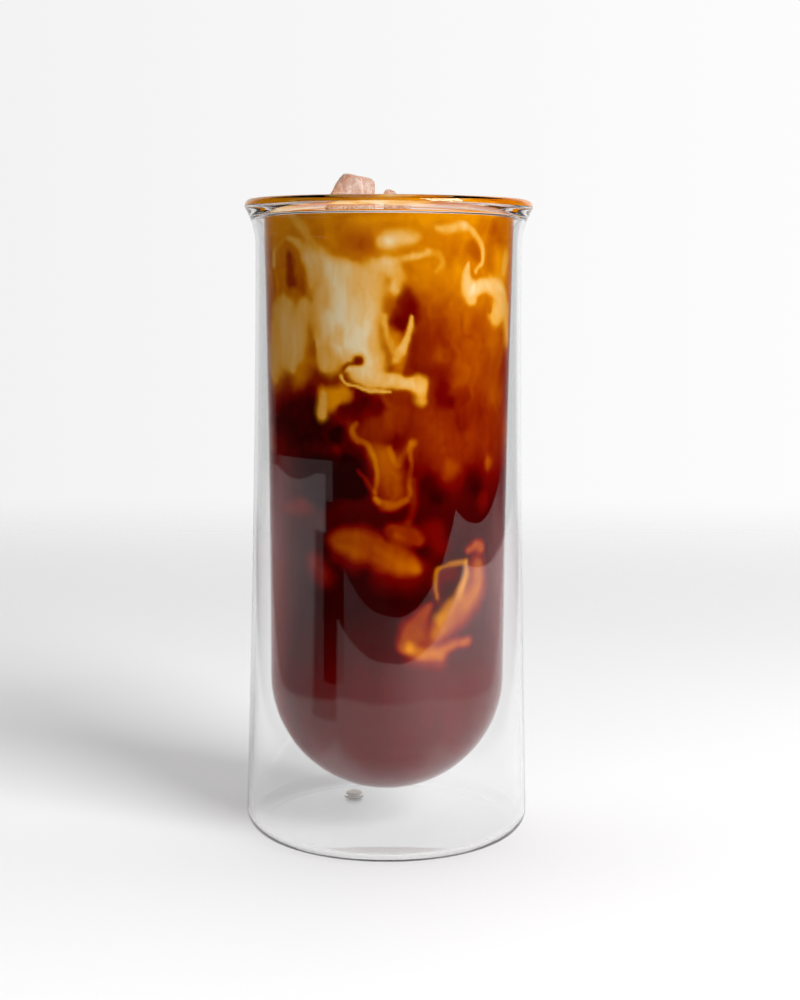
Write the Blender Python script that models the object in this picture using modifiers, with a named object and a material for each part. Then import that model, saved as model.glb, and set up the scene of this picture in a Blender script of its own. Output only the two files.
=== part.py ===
# Iced coffee in a double-walled drinking glass with a round-bottomed inner tube.
#
# The glass is one piece: an outer wall that stands on a flat base, and a test-tube shaped
# inner wall fused to it at the lip, with air between them. A small vent in the base, left
# from the glass-blowing, opens into that air and is shut by a silicone plug. The coffee
# fills the tube to just under the lip, and two pieces of ice stand out of it.
#
# Metres, +Z up. The origin is the centre of the base, on the surface it stands on.

import math

import bmesh
import bpy
from mathutils import Vector

MM = 0.001

# Glass, outside
HEIGHT = 160.2 * MM
BASE_RADIUS = 36.2 * MM
BASE_CORNER = 5.0 * MM
NECK_RADIUS = 33.3 * MM
NECK_Z = 149.0 * MM
TAPER_POWER = 1.5
LIP_FLARE = 2.7 * MM
LIP_RADIUS = 34.6 * MM
LIP_BEAD = (1.4 * MM, 1.9 * MM)

# Glass, walls and the air between them
WALL = 1.3 * MM
FLOOR = 1.5 * MM
AIR_TOP_Z = 156.1 * MM
AIR_CROWN = 0.7 * MM

# Inside of the tube that holds the drink
BOWL_RADIUS = 28.6 * MM
BOWL_Z = 40.4 * MM
TUBE_NECK_RADIUS = 29.9 * MM
TUBE_NECK_Z = 154.5 * MM
OPENING_POWER = 2.0

# Vent in the base and its plug
VENT_X = -8.9 * MM
VENT_Y = 19.4 * MM
VENT_RADIUS = 1.6 * MM
COLLAR_RADIUS = 2.6 * MM
COLLAR_TOP_Z = 2.2 * MM
PLUG_HEAD_RADIUS = 2.1 * MM
PLUG_HEAD_HEIGHT = 0.7 * MM

# Drink
FILL_Z = 156.9 * MM
GAP = 0.3 * MM

# Ice, the corners of each piece in millimetres, from the top down
BLOCK_CORNERS = (
    (-11.6, 3.0, 167.4), (-8.6, 1.2, 166.5), (-3.4, 3.2, 165.8), (-4.4, 10.0, 164.8), (-10.2, 9.6, 165.8),
    (-13.3, 4.5, 165.4), (-3.2, 1.0, 162.0), (-15.2, 1.8, 161.0), (-15.8, 9.4, 159.6), (-3.6, 13.0, 158.0),
    (-17.4, -1.6, 152.4), (-3.4, -2.6, 151.0), (-3.6, 12.8, 150.2), (-16.0, 13.4, 151.6),
    (-14.4, 1.2, 147.0), (-5.6, 0.6, 146.0), (-6.0, 9.6, 145.6), (-13.6, 9.8, 146.6),
)
NUB_CORNERS = (
    (-0.5, 5.6, 163.9), (1.0, 5.2, 163.4), (-1.5, 7.2, 163.0), (1.6, 7.6, 162.6), (-1.6, 4.8, 162.2),
    (4.2, 3.4, 159.8), (5.4, 9.0, 159.2), (-1.5, 10.4, 158.4), (-1.4, 2.2, 157.2),
    (-1.2, 1.6, 151.6), (8.2, 2.2, 152.2), (8.8, 10.6, 151.4), (-1.0, 12.2, 152.0), (3.4, 6.8, 146.4),
)
ICE_WEAR = 0.7 * MM
FLAT_ANGLE = math.radians(6)

# Facets
ROUND_STEPS = 60
PLUG_STEPS = 20
MERGE = 1e-6


def remove_everything():
    for old in list(bpy.data.objects):
        bpy.data.objects.remove(old, do_unlink=True)


def new_collection(name):
    collection = bpy.data.collections.new(name)
    bpy.context.scene.collection.children.link(collection)
    return collection


def new_material(name, colour, roughness, transmission=0.0, ior=1.45):
    material = bpy.data.materials.new(name)
    material.use_nodes = True
    shader = material.node_tree.nodes["Principled BSDF"]
    shader.inputs["Base Color"].default_value = (*colour, 1.0)
    shader.inputs["Roughness"].default_value = roughness
    shader.inputs["Metallic"].default_value = 0.0
    shader.inputs["Transmission Weight"].default_value = transmission
    shader.inputs["IOR"].default_value = ior
    return material


def arc(centre, radii, from_deg, to_deg, steps):
    """Points (x, z) on an ellipse round centre, from one angle to another, both ends included."""
    points = []
    for i in range(steps + 1):
        angle = math.radians(from_deg + (to_deg - from_deg) * i / steps)
        points.append((centre[0] + radii[0] * math.cos(angle), centre[1] + radii[1] * math.sin(angle)))
    return points


def outer_radius(z):
    """Radius of the glass's outside: it narrows ever more gently up to the neck, then flares."""
    if z > NECK_Z:
        return NECK_RADIUS + LIP_FLARE * ((z - NECK_Z) / (HEIGHT - LIP_BEAD[1] - NECK_Z)) ** 2
    share = (z - BASE_CORNER) / (NECK_Z - BASE_CORNER)
    return NECK_RADIUS + (BASE_RADIUS - NECK_RADIUS) * (1.0 - share) ** TAPER_POWER


def outer_side(from_z, inset, taper_steps, flare_steps):
    """Points (x, z) down the outside of the glass, moved inwards by inset, to the base corner."""
    flare = [from_z + (NECK_Z - from_z) * i / flare_steps for i in range(flare_steps)]
    taper = [NECK_Z + (BASE_CORNER - NECK_Z) * i / taper_steps for i in range(taper_steps)]
    return [(outer_radius(z) - inset, z) for z in flare + taper]


def tube_side(inset, top_z, bowl_steps, taper_steps, flare_steps):
    """The tube's surface, moved inwards by inset, from its lowest point up to top_z.

    A hemisphere, a side that opens slowly and then faster, and above the neck a quarter
    ellipse that ends level with the top of the lip."""
    bowl = arc((0.0, BOWL_Z), (BOWL_RADIUS - inset,) * 2, -90, 0, bowl_steps)
    shares = [(i + 1) / (taper_steps + 1) for i in range(taper_steps)]
    opening = TUBE_NECK_RADIUS - BOWL_RADIUS
    taper = [
        (BOWL_RADIUS - inset + opening * share**OPENING_POWER, BOWL_Z + (TUBE_NECK_Z - BOWL_Z) * share)
        for share in shares
    ]
    flare_radii = (LIP_RADIUS - TUBE_NECK_RADIUS + inset, HEIGHT - TUBE_NECK_Z + inset)
    end_deg = 180 - math.degrees(math.asin(min(1.0, (top_z - TUBE_NECK_Z) / flare_radii[1])))
    return bowl + taper + arc((LIP_RADIUS, TUBE_NECK_Z), flare_radii, 180, end_deg, flare_steps)


def glass_profile():
    """The tube's inside, over the lip, and down the outside to the middle of the base."""
    lip_z = HEIGHT - LIP_BEAD[1]
    lip = arc((LIP_RADIUS, lip_z), LIP_BEAD, 90, 0, 5)[1:-1]
    side = outer_side(lip_z, 0.0, 5, 4)
    corner = arc((BASE_RADIUS - BASE_CORNER, BASE_CORNER), (BASE_CORNER,) * 2, 0, -90, 5)
    return tube_side(0.0, HEIGHT, 11, 3, 8) + lip + side + corner + [(0.0, 0.0)]


def air_profile():
    """The space between the walls: up behind the tube, over, and down behind the outer wall."""
    tube = tube_side(-WALL, AIR_TOP_Z, 10, 3, 3)
    side = outer_side(AIR_TOP_Z, WALL, 5, 2)
    middle, half = (tube[-1][0] + side[0][0]) / 2, (side[0][0] - tube[-1][0]) / 2
    crown = arc((middle, AIR_TOP_Z), (half, AIR_CROWN), 180, 0, 4)[1:-1]
    corner_radii = (BASE_CORNER - WALL, BASE_CORNER - FLOOR)
    corner = arc((BASE_RADIUS - BASE_CORNER, BASE_CORNER), corner_radii, 0, -90, 4)
    return tube + crown + side + corner + [(0.0, FLOOR)]


def coffee_profile():
    """Across the top of the drink and down its side, clear of the glass by the gap."""
    side = tube_side(GAP, FILL_Z, 10, 3, 5)
    return [(0.0, FILL_Z)] + side[::-1]


def plug_profile():
    """A round head over the collar and a shank in the vent, turned round its own axis."""
    head_z = COLLAR_TOP_Z + GAP
    head = arc((0.0, head_z), (PLUG_HEAD_RADIUS, PLUG_HEAD_HEIGHT), 90, 0, 5)
    shank = VENT_RADIUS - GAP
    return head + [(shank, head_z), (shank, GAP), (0.0, GAP)]


def turned(name, profile, steps, collection, material=None):
    """Turns a profile of (x, z) points through a full circle round the object's Z axis."""
    mesh = bpy.data.meshes.new(name)
    edges = [(i, i + 1) for i in range(len(profile) - 1)]
    mesh.from_pydata([(x, 0.0, z) for x, z in profile], edges, [])
    turned_object = bpy.data.objects.new(name, mesh)
    collection.objects.link(turned_object)
    screw = turned_object.modifiers.new("turn", "SCREW")
    screw.angle = math.tau
    screw.steps = screw.render_steps = steps
    screw.use_merge_vertices = True
    screw.merge_threshold = MERGE
    screw.use_smooth_shade = True
    if material:
        mesh.materials.append(material)
    return turned_object


def cylinder(name, radius, low_z, high_z, collection):
    mesh = bpy.data.meshes.new(name)
    shape = bmesh.new()
    bmesh.ops.create_cone(
        shape, cap_ends=True, segments=PLUG_STEPS, radius1=radius, radius2=radius, depth=high_z - low_z
    )
    bmesh.ops.translate(shape, verts=shape.verts, vec=(0.0, 0.0, (low_z + high_z) / 2))
    shape.to_mesh(mesh)
    shape.free()
    made = bpy.data.objects.new(name, mesh)
    collection.objects.link(made)
    return made


def ice_piece(name, corners, grow, collection, material=None):
    """A worn piece of ice: the hull round its corners with soft edges, grown outwards by grow."""
    shape = bmesh.new()
    for corner in corners:
        shape.verts.new(Vector(corner) * MM)
    hull = bmesh.ops.convex_hull(shape, input=list(shape.verts))
    bmesh.ops.delete(shape, geom=hull["geom_interior"] + hull["geom_unused"], context="VERTS")
    edges = list(shape.edges)
    bmesh.ops.dissolve_limit(shape, angle_limit=FLAT_ANGLE, verts=list(shape.verts), edges=edges)
    edges = list(shape.edges)
    bmesh.ops.bevel(
        shape, geom=edges, offset=ICE_WEAR, segments=2, profile=0.5, affect="EDGES", clamp_overlap=True
    )
    shape.normal_update()
    moves = [vertex.normal * vertex.calc_shell_factor() * grow for vertex in shape.verts]
    for vertex, move in zip(shape.verts, moves):
        vertex.co += move
    mesh = bpy.data.meshes.new(name)
    shape.to_mesh(mesh)
    shape.free()
    piece = bpy.data.objects.new(name, mesh)
    collection.objects.link(piece)
    if material:
        mesh.materials.append(material)
        mesh.shade_smooth()
    return piece


def as_helper(helper):
    helper.hide_render = True
    helper.display_type = "WIRE"
    return helper


def cut(body, cutter):
    boolean = body.modifiers.new(f"cut {cutter.name}", "BOOLEAN")
    boolean.operation = "DIFFERENCE"
    boolean.solver = "EXACT"
    boolean.object = cutter


def build_glass(parts, cutters, material):
    glass = turned("glass", glass_profile(), ROUND_STEPS, parts, material)
    air = as_helper(turned("air_between_walls", air_profile(), ROUND_STEPS, cutters))
    collar = as_helper(cylinder("vent_collar", COLLAR_RADIUS, 0.0, COLLAR_TOP_Z, cutters))
    vent = as_helper(cylinder("vent_hole", VENT_RADIUS, -FLOOR, COLLAR_TOP_Z + FLOOR, cutters))
    for helper in (collar, vent):
        helper.location = (VENT_X, VENT_Y, 0.0)
    cut(air, collar)
    cut(glass, air)
    cut(glass, vent)


def build_plug(parts, material):
    plug = turned("vent_plug", plug_profile(), PLUG_STEPS, parts, material)
    plug.location = (VENT_X, VENT_Y, 0.0)


def build_drink(parts, cutters, coffee_material, ice_material):
    coffee = turned("coffee", coffee_profile(), ROUND_STEPS, parts, coffee_material)
    for name, corners in (("ice_block", BLOCK_CORNERS), ("ice_nub", NUB_CORNERS)):
        ice_piece(name, corners, 0.0, parts, ice_material)
        pocket = as_helper(ice_piece(f"{name}_pocket", corners, GAP, cutters))
        cut(coffee, pocket)


def main():
    remove_everything()
    parts = new_collection("iced_coffee")
    cutters = new_collection("cutters")
    clear_glass = new_material("clear_glass", (0.96, 0.97, 0.97), 0.02, 1.0, 1.47)
    silicone = new_material("silicone", (0.86, 0.83, 0.78), 0.45)
    coffee = new_material("iced_coffee", (0.16, 0.045, 0.012), 0.08)
    ice = new_material("ice", (0.88, 0.84, 0.82), 0.12, 0.8, 1.31)
    build_glass(parts, cutters, clear_glass)
    build_plug(parts, silicone)
    build_drink(parts, cutters, coffee, ice)


main()
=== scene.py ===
# %% [markdown]
# Iced coffee in a double-walled glass
#
# The glass is blown in two walls: a straight outer wall on a flat base, and a test tube
# that hangs inside it from the lip. Milk has just been poured over the coffee, and hangs in
# clouds inside the tube. The solids of the model are loaded first, and every piece here
# is built on their measurements.

# %% Load the model
import math

import bmesh
import bpy
import numpy as np
from mathutils import Matrix, Vector


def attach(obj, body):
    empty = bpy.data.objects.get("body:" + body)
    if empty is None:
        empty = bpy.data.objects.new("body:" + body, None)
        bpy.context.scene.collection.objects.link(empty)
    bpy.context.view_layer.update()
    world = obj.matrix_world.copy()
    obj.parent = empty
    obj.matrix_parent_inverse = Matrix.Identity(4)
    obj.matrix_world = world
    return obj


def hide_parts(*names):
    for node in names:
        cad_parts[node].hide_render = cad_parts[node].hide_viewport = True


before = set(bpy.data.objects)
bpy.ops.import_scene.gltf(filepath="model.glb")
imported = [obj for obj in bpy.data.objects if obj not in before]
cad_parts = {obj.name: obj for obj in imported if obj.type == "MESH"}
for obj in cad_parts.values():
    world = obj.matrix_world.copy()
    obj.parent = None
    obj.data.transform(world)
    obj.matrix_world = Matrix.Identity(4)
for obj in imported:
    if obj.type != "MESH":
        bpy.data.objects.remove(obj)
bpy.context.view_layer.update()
print("nodes:", sorted(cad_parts))

MM = 0.001

# %% [markdown]
# The camera stands a little below the lip and about 45 cm away, and looks down by seven
# degrees. A long lens keeps the sides of the glass nearly straight. Its turn to the right
# leaves the glass just left of the middle of the picture.

# %% The camera
CAMERA_PLACE = Vector((0.0, -449.4, 141.2)) * MM
LOOK_DOWN = math.radians(7.16)
LOOK_RIGHT = math.radians(0.40)
LEAN = math.radians(0.28)
LENS = 63.9
SENSOR = 36.0
PICTURE = (800, 1000)

camera = bpy.data.objects.new("camera", bpy.data.cameras.new("camera"))
camera.data.lens = LENS
camera.data.sensor_width = SENSOR
camera.data.clip_start = 0.01
camera.matrix_world = (
    Matrix.Translation(CAMERA_PLACE)
    @ Matrix.Rotation(-LOOK_RIGHT, 4, "Z")
    @ Matrix.Rotation(math.radians(90) - LOOK_DOWN, 4, "X")
    @ Matrix.Rotation(LEAN, 4, "Z")
)
bpy.context.scene.collection.objects.link(camera)
bpy.context.scene.camera = camera
bpy.context.scene.view_settings.view_transform = "Standard"


def sight_line(x, y):
    """The direction from the camera through a point of the picture, counted from its top left."""
    focal = LENS / SENSOR * PICTURE[1]
    across, up = (x - PICTURE[0] / 2) / focal, (PICTURE[1] / 2 - y) / focal
    return (camera.matrix_world.to_3x3() @ Vector((across, up, -1.0))).normalized()


print("camera, mm:", [round(c / MM, 1) for c in CAMERA_PLACE])


# %% [markdown]
# Every turned piece here is drawn as half of its cross-section, a list of (radius, height)
# points, and swept round the axis. An outline that starts or ends on the axis closes in a
# single point there. The same measurements as in the solid model give the same glass, only
# with many more facets.

# %% Turning an outline into a mesh
def arc(centre, radii, from_deg, to_deg, steps):
    """Points along part of an ellipse; 0 degrees is outwards and 90 is up."""
    turns = np.radians(np.linspace(from_deg, to_deg, steps + 1))
    return [(centre[0] + radii[0] * math.cos(t), centre[1] + radii[1] * math.sin(t)) for t in turns]


def turn_outline(name, outline, steps, crowd=0.0):
    """A mesh swept round the Z axis from (radius, height) points.

    crowd sets the columns closer together at the front and wider apart at the back."""
    points, rings = [], []
    for radius, height in outline:
        if radius < 1e-7:
            rings.append([len(points)] * steps)
            points.append((0.0, 0.0, height))
        else:
            rings.append(list(range(len(points), len(points) + steps)))
            for k in range(steps):
                turn = math.tau * k / steps
                turn -= crowd * math.sin(turn)
                points.append((radius * math.sin(turn), -radius * math.cos(turn), height))
    faces = []
    for upper, lower in zip(rings, rings[1:]):
        for k in range(steps):
            n = (k + 1) % steps
            corners = dict.fromkeys((upper[k], lower[k], lower[n], upper[n]))
            if len(corners) > 2:
                faces.append(tuple(corners))
    mesh = bpy.data.meshes.new(name)
    mesh.from_pydata(points, [], faces)
    mesh.update()
    return mesh


def add_piece(name, mesh):
    piece = bpy.data.objects.new(name, mesh)
    bpy.context.scene.collection.objects.link(piece)
    return piece


quarter = arc((0.0, 0.0), (1.0, 1.0), 0, 90, 3)
print("a quarter circle:", [(round(r, 2), round(z, 2)) for r, z in quarter])


# %% [markdown]
# The outline of the glass. Outside, it narrows ever more gently from the base to the neck
# and then flares into a thick round lip, where the two walls were fused in the flame. The
# tube is a hemisphere, a long slight taper, and a quarter of an ellipse that opens into the
# same lip.

# %% The outline of the glass
HEIGHT = 160.2 * MM
BASE_RADIUS = 36.2 * MM
BASE_CORNER = 5.0 * MM
NECK_RADIUS = 33.3 * MM
NECK_Z = 149.0 * MM
TAPER_POWER = 1.5
LIP_FLARE = 2.7 * MM
LIP_RADIUS = 34.6 * MM
LIP_BEAD = (1.4 * MM, 1.9 * MM)
WALL = 1.3 * MM
FLOOR = 1.5 * MM
AIR_TOP_Z = 156.1 * MM
AIR_CROWN = 0.7 * MM
BOWL_RADIUS = 28.6 * MM
BOWL_Z = 40.4 * MM
TUBE_NECK_RADIUS = 29.9 * MM
TUBE_NECK_Z = 154.5 * MM
OPENING_POWER = 2.0
VENT = Vector((-8.9, 19.4, 0.0)) * MM
VENT_RADIUS = 1.6 * MM
COLLAR_RADIUS = 2.6 * MM
COLLAR_TOP_Z = 1.7 * MM
FILL_Z = 156.9 * MM
AROUND = 224

# the number of steps in each stretch of the outlines
BOWL_STEPS, SIDE_STEPS, TAPER_STEPS = 40, 20, 28
LIP_STEPS, CORNER_STEPS, AIR_STEPS = 16, 14, 12
BASE_RINGS = (20 * MM, 8 * MM, 0.0)


def outer_radius(z):
    """Radius of the outside at a height: the tapered wall, then the flare of the lip."""
    if z > NECK_Z:
        return NECK_RADIUS + LIP_FLARE * ((z - NECK_Z) / (HEIGHT - LIP_BEAD[1] - NECK_Z)) ** 2
    share = (z - BASE_CORNER) / (NECK_Z - BASE_CORNER)
    return NECK_RADIUS + (BASE_RADIUS - NECK_RADIUS) * (1.0 - share) ** TAPER_POWER


def tube_radius(z):
    """Radius of the tube's inside at a height."""
    if z <= BOWL_Z:
        return math.sqrt(max(0.0, BOWL_RADIUS**2 - (BOWL_Z - z) ** 2))
    if z <= TUBE_NECK_Z:
        share = (z - BOWL_Z) / (TUBE_NECK_Z - BOWL_Z)
        return BOWL_RADIUS + (TUBE_NECK_RADIUS - BOWL_RADIUS) * share**OPENING_POWER
    share = (z - TUBE_NECK_Z) / (HEIGHT - TUBE_NECK_Z)
    return LIP_RADIUS - (LIP_RADIUS - TUBE_NECK_RADIUS) * math.sqrt(max(0.0, 1.0 - share**2))


def tube_side(outwards, top_z, flare_steps):
    """The tube from its lowest point up to a height, moved outwards by so much."""
    bowl = arc((0.0, BOWL_Z), (BOWL_RADIUS + outwards,) * 2, -90, 0, BOWL_STEPS)
    bowl[0] = (0.0, bowl[0][1])
    side = [
        (tube_radius(z) + outwards, z)
        for z in np.linspace(BOWL_Z, TUBE_NECK_Z, SIDE_STEPS + 1)[1:]
    ]
    radii = (LIP_RADIUS - TUBE_NECK_RADIUS - outwards, HEIGHT - TUBE_NECK_Z - outwards)
    end = 180 - math.degrees(math.asin(min(1.0, (top_z - TUBE_NECK_Z) / radii[1])))
    return bowl + side + arc((LIP_RADIUS, TUBE_NECK_Z), radii, 180, end, flare_steps)[1:]


def outer_side(from_z, inwards, flare_steps):
    """The outside from a height down to the base's corner, moved inwards by so much."""
    heights = list(np.linspace(from_z, NECK_Z, flare_steps + 1)[:-1])
    heights += list(np.linspace(NECK_Z, BASE_CORNER, TAPER_STEPS + 1)[:-1])
    return [(outer_radius(z) - inwards, z) for z in heights]


def base_side(wall, floor, steps):
    """The corner and the flat of the base, or of the hollow behind a wall and a floor."""
    radii = (BASE_CORNER - wall, BASE_CORNER - floor)
    corner = arc((BASE_RADIUS - BASE_CORNER, BASE_CORNER), radii, 0, -90, steps)
    return corner + [(radius, floor) for radius in BASE_RINGS]


lip_z = HEIGHT - LIP_BEAD[1]
glass_outline = (
    tube_side(0.0, HEIGHT, flare_steps=24)
    + arc((LIP_RADIUS, lip_z), LIP_BEAD, 90, 0, LIP_STEPS)[1:-1]
    + outer_side(lip_z, 0.0, flare_steps=14)
    + base_side(0.0, 0.0, CORNER_STEPS)
)

behind_tube = tube_side(WALL, AIR_TOP_Z, flare_steps=12)
behind_wall = outer_side(AIR_TOP_Z, WALL, flare_steps=8)
crown_middle = (behind_tube[-1][0] + behind_wall[0][0]) / 2
crown_half = (behind_wall[0][0] - behind_tube[-1][0]) / 2
air_outline = (
    behind_tube
    + arc((crown_middle, AIR_TOP_Z), (crown_half, AIR_CROWN), 180, 0, AIR_STEPS)[1:-1]
    + behind_wall
    + base_side(WALL, FLOOR, AIR_STEPS)
)
print("points in the outlines:", len(glass_outline), len(air_outline))

# %% [markdown]
# The hollow between the walls is cut out of the solid glass. A vent was left in the base,
# because air that is sealed in while hot would burst or suck in the walls as it cools. A
# little collar of glass stands up round it, half a millimetre lower here than in the solid
# model. Cutting with Boolean modifiers is the short way to a hollow with a hole in it, and
# leaves one clean closed skin for light to bend through.

# %% The glass
ROD_STEPS = 48
UNDER_BASE = -1 * MM


def short_rod(name, radius, low, high):
    outline = [(0.0, high), (radius, high), (radius, low), (0.0, low)]
    mesh = turn_outline(name, outline, ROD_STEPS)
    rod = add_piece(name, mesh)
    rod.location = (VENT.x, VENT.y, 0.0)
    return rod


def subtract(body, cutter):
    cut = body.modifiers.new("cut", "BOOLEAN")
    cut.operation = "DIFFERENCE"
    cut.solver = "EXACT"
    cut.object = cutter


def settle(piece):
    """Replaces a piece's mesh by what its modifiers make of it."""
    settled = bpy.data.meshes.new_from_object(
        piece.evaluated_get(bpy.context.evaluated_depsgraph_get())
    )
    piece.modifiers.clear()
    piece.data = settled


glass = add_piece("double_walled_glass", turn_outline("double_walled_glass", glass_outline, AROUND))
air = add_piece("air", turn_outline("air", air_outline, AROUND))
collar = short_rod("collar", COLLAR_RADIUS, UNDER_BASE, COLLAR_TOP_Z)
vent_hole = short_rod("vent_hole", VENT_RADIUS, UNDER_BASE, COLLAR_TOP_Z + 2 * MM)
subtract(air, collar)
subtract(glass, air)
subtract(glass, vent_hole)
settle(glass)
for helper in (air, collar, vent_hole):
    bpy.data.objects.remove(helper, do_unlink=True)
glass.data.shade_smooth()
glass.data.set_sharp_from_angle(angle=math.radians(40))
print("glass:", len(glass.data.polygons), "faces")

# %% [markdown]
# A material is a tree of nodes. Two small helpers keep the trees short to write: one adds a
# node and gives its sockets their values, and one joins outputs to inputs. Three more add a
# Map Range, a mix of colours and a ramp between two colours.

# %% Adding and joining nodes
def new_material(name):
    material = bpy.data.materials.new(name)
    material.use_nodes = True
    material.node_tree.nodes.clear()
    return material, material.node_tree


def add(tree, kind, values=None, **settings):
    """Adds a node with its settings. values are those of its sockets, by name or number."""
    node = tree.nodes.new(kind)
    for key, value in settings.items():
        setattr(node, key, value)
    for socket, value in (values or {}).items():
        node.inputs[socket].default_value = value
    return node


def join(tree, *ways):
    """Each way is a node, its output, the node that takes it, and that node's input."""
    for giver, output, taker, socket in ways:
        tree.links.new(giver.outputs[output], taker.inputs[socket])


def spread(tree, lows_and_highs, becomes, kind="LINEAR"):
    """Maps the first pair of values to the second pair."""
    values = dict(zip(("From Min", "From Max", "To Min", "To Max"), lows_and_highs + becomes))
    return add(tree, "ShaderNodeMapRange", values, interpolation_type=kind)


def mix_colours(tree, values=None, blend_type="MIX"):
    return add(tree, "ShaderNodeMix", values, data_type="RGBA", blend_type=blend_type)


def two_tones(tree, low, high):
    ramp = add(tree, "ShaderNodeValToRGB")
    for element, colour in zip(ramp.color_ramp.elements, (low, high)):
        element.color = (*colour, 1.0)
    return ramp


# %% [markdown]
# Nothing real is even all over: glass is drawn, ice has veins, milk has wisps. Each of these
# is the same noise, stretched and turned in its own way, so it is a node group that every
# material here places with its own values.

# %% Stretched noise
noise_group = bpy.data.node_groups.new("stretched_noise", "ShaderNodeTree")
GROUP_INPUTS = {
    "Place": "NodeSocketVector",
    "Stretch": "NodeSocketVector",
    "Turn": "NodeSocketVector",
    "Detail": "NodeSocketFloat",
    "Distortion": "NodeSocketFloat",
}
for name, kind in GROUP_INPUTS.items():
    noise_group.interface.new_socket(name=name, in_out="INPUT", socket_type=kind)
noise_group.interface.new_socket(name="Amount", in_out="OUTPUT", socket_type="NodeSocketFloat")
given = add(noise_group, "NodeGroupInput")
stretch = add(noise_group, "ShaderNodeMapping")
lumps = add(noise_group, "ShaderNodeTexNoise", {"Scale": 1.0})
result = add(noise_group, "NodeGroupOutput")
join(
    noise_group,
    (given, "Place", stretch, "Vector"),
    (given, "Stretch", stretch, "Scale"),
    (given, "Turn", stretch, "Rotation"),
    (stretch, "Vector", lumps, "Vector"),
    (given, "Detail", lumps, "Detail"),
    (given, "Distortion", lumps, "Distortion"),
    (lumps, "Fac", result, "Amount"),
)


def place_noise(tree, stretch, detail=2.0, distortion=0.0, turn=(0.0, 0.0, 0.0)):
    """Places the group. stretch is the number of lumps in a metre along X, Y and Z."""
    values = {"Stretch": stretch, "Turn": turn, "Detail": detail, "Distortion": distortion}
    place = add(tree, "ShaderNodeTexCoord")
    noise = add(tree, "ShaderNodeGroup", node_tree=noise_group)
    for socket, value in values.items():
        noise.inputs[socket].default_value = value
    join(tree, (place, "Object", noise, "Place"))
    return noise


print("inputs of the noise:", list(GROUP_INPUTS))

# %% [markdown]
# Clear glass needs only what light does at its skin: bend, and mirror a little at steep
# angles. A slow unevenness in the normal stands for the fire-drawn surface, stretched along
# the tube as glass tubing is. Light on its way to a lamp, and light that only brightens
# other things, goes straight through, because bending it would leave the drink full of noise.

# %% Clear glass
clear_glass, tree = new_material("blown_glass")
drawn = place_noise(tree, (260.0, 260.0, 14.0), 1.0)
bump = add(tree, "ShaderNodeBump", {"Strength": 0.02, "Distance": 0.0004})
skin = add(tree, "ShaderNodeBsdfPrincipled", {"Base Color": (0.985, 0.99, 0.99, 1.0)})
skin.inputs["Roughness"].default_value = 0.0
skin.inputs["IOR"].default_value = 1.47
skin.inputs["Transmission Weight"].default_value = 1.0
straight = add(tree, "ShaderNodeBsdfTransparent", {"Color": (0.97, 0.97, 0.97, 1.0)})
ray = add(tree, "ShaderNodeLightPath")
either = add(tree, "ShaderNodeMath", operation="MAXIMUM")
choose = add(tree, "ShaderNodeMixShader")
out = add(tree, "ShaderNodeOutputMaterial")
join(
    tree,
    (drawn, "Amount", bump, "Height"),
    (bump, "Normal", skin, "Normal"),
    (ray, "Is Shadow Ray", either, 0),
    (ray, "Is Diffuse Ray", either, 1),
    (either, 0, choose, "Fac"),
    (skin, "BSDF", choose, 1),
    (straight, "BSDF", choose, 2),
    (choose, "Shader", out, "Surface"),
)

glass.data.materials.clear()
glass.data.materials.append(clear_glass)
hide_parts("glass")
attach(glass, "root")
print("glass nodes:", len(tree.nodes))

# %% [markdown]
# The vent plug is a dot of silicone pressed into the collar from inside, with a shallow
# dimple in its head.

# %% The vent plug
PLUG_HEAD_RADIUS = 2.1 * MM
PLUG_STEPS = 40
GAP = 0.3 * MM
STEM_RADIUS = VENT_RADIUS - 0.1 * MM
HEAD_CORNER = (0.55 * MM, 0.35 * MM)
DIMPLE = [(0.0, 0.42 * MM), (0.7 * MM, 0.46 * MM), (1.1 * MM, 0.66 * MM)]
head_z = COLLAR_TOP_Z + GAP
corner_middle = (PLUG_HEAD_RADIUS - HEAD_CORNER[0], head_z + HEAD_CORNER[1])
plug_outline = (
    [(radius, head_z + rise) for radius, rise in DIMPLE]
    + arc(corner_middle, HEAD_CORNER, 110, 0, 8)
    + [(PLUG_HEAD_RADIUS, head_z), (STEM_RADIUS, head_z), (STEM_RADIUS, GAP), (0.0, GAP)]
)
plug = add_piece("vent_plug_dimpled", turn_outline("vent_plug_dimpled", plug_outline, PLUG_STEPS))
plug.data.transform(Matrix.Translation((VENT.x, VENT.y, 0.0)))
plug.data.shade_smooth()
plug.data.set_sharp_from_angle(angle=math.radians(45))
print("plug:", len(plug.data.polygons), "faces")

# %% [markdown]
# Silicone is soft to the eye as well: a little light goes in and comes out beside where it
# went in. A fine noise keeps its off-white from being one flat tone.

# %% Silicone
silicone, tree = new_material("soft_silicone")
grain = place_noise(tree, (900.0,) * 3)
tone = two_tones(tree, (0.74, 0.67, 0.60), (0.88, 0.84, 0.79))
skin = add(tree, "ShaderNodeBsdfPrincipled", {"Roughness": 0.4, "Subsurface Weight": 0.2})
skin.inputs["Subsurface Radius"].default_value = (0.001, 0.0007, 0.0005)
out = add(tree, "ShaderNodeOutputMaterial")
join(
    tree,
    (grain, "Amount", tone, "Fac"),
    (tone, "Color", skin, "Base Color"),
    (skin, "BSDF", out, "Surface"),
)
plug.data.materials.append(silicone)
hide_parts("vent_plug")
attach(plug, "root")
print("silicone nodes:", len(tree.nodes))

# %% [markdown]
# The drink fills the tube. Its skin reaches a hair into the glass, because a film of air
# between them would mirror like a soap bubble. At the wall the drink's top climbs a little,
# as liquids do. The mesh is a fine grid, closer at the front where the eye goes, because
# each of its points will carry how much milk is there.

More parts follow.
